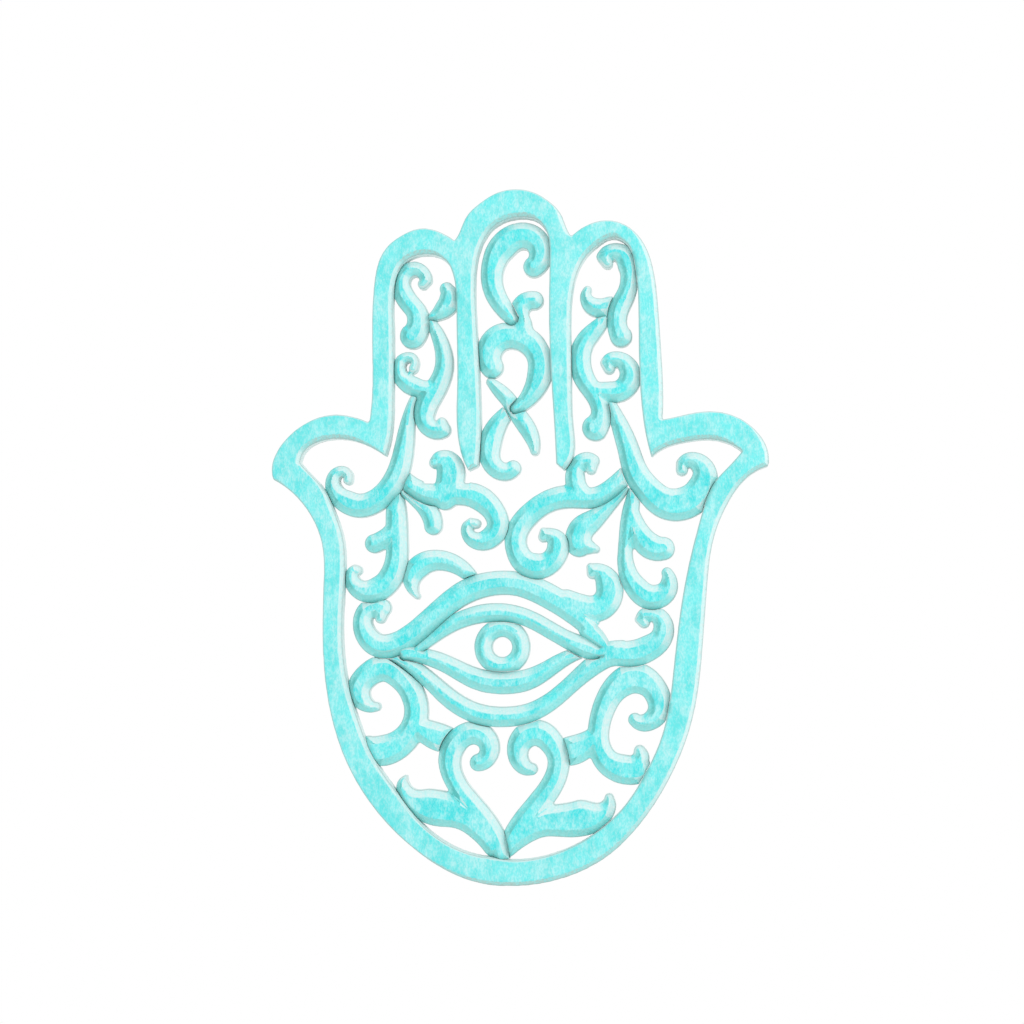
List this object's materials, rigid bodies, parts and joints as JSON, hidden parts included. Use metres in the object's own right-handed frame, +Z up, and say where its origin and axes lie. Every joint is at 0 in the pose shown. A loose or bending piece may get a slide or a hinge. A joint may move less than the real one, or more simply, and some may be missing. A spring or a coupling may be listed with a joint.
{
  "type": "hamsa hand wall ornament",
  "caption": "Pierced and carved hand-shaped wooden wall ornament with scrollwork round an eye, a turquoise wash and a keyhole hanger.",
  "frame": {"origin": "middle of the keyhole's round hole, on the wall plane at the ornament's back", "axes": "+Z up to the fingertips, +X to the viewer's right, +Y into the wall; the carved face looks along -Y"},
  "size_m": [0.2863, 0.012, 0.3997],
  "materials": {
    "turquoise_wood": "thin turquoise wash brushed over pale carved wood, matt",
    "zinc_steel": "zinc-plated sheet steel"
  },
  "bodies": {
    "root": {"brow": "turquoise_wood", "brow_leaf": "turquoise_wood", "hand_frame": "turquoise_wood", "iris_ring": "turquoise_wood", "keyhole_plate": "zinc_steel", "left_c_scroll": "turquoise_wood", "left_drop_leaf": "turquoise_wood", "left_finger_crest": "turquoise_wood", "left_finger_leaf": "turquoise_wood", "left_finger_s_scroll": "turquoise_wood", "left_heart_scroll": "turquoise_wood", "left_palm_scroll": "turquoise_wood", "left_pendant": "turquoise_wood", "left_thumb_scroll": "turquoise_wood", "lower_lid": "turquoise_wood", "middle_finger_c_scroll": "turquoise_wood", "middle_finger_crest": "turquoise_wood", "middle_finger_cross_leaf": "turquoise_wood", "middle_finger_hook": "turquoise_wood", "plate_screws": "zinc_steel", "right_c_scroll": "turquoise_wood", "right_drop_leaf": "turquoise_wood", "right_finger_crest": "turquoise_wood", "right_finger_leaf": "turquoise_wood", "right_finger_s_scroll": "turquoise_wood", "right_heart_scroll": "turquoise_wood", "right_palm_scroll": "turquoise_wood", "right_pendant": "turquoise_wood", "right_thumb_scroll": "turquoise_wood", "under_eye_scroll": "turquoise_wood", "upper_lid": "turquoise_wood"}
  },
  "joints": []
}
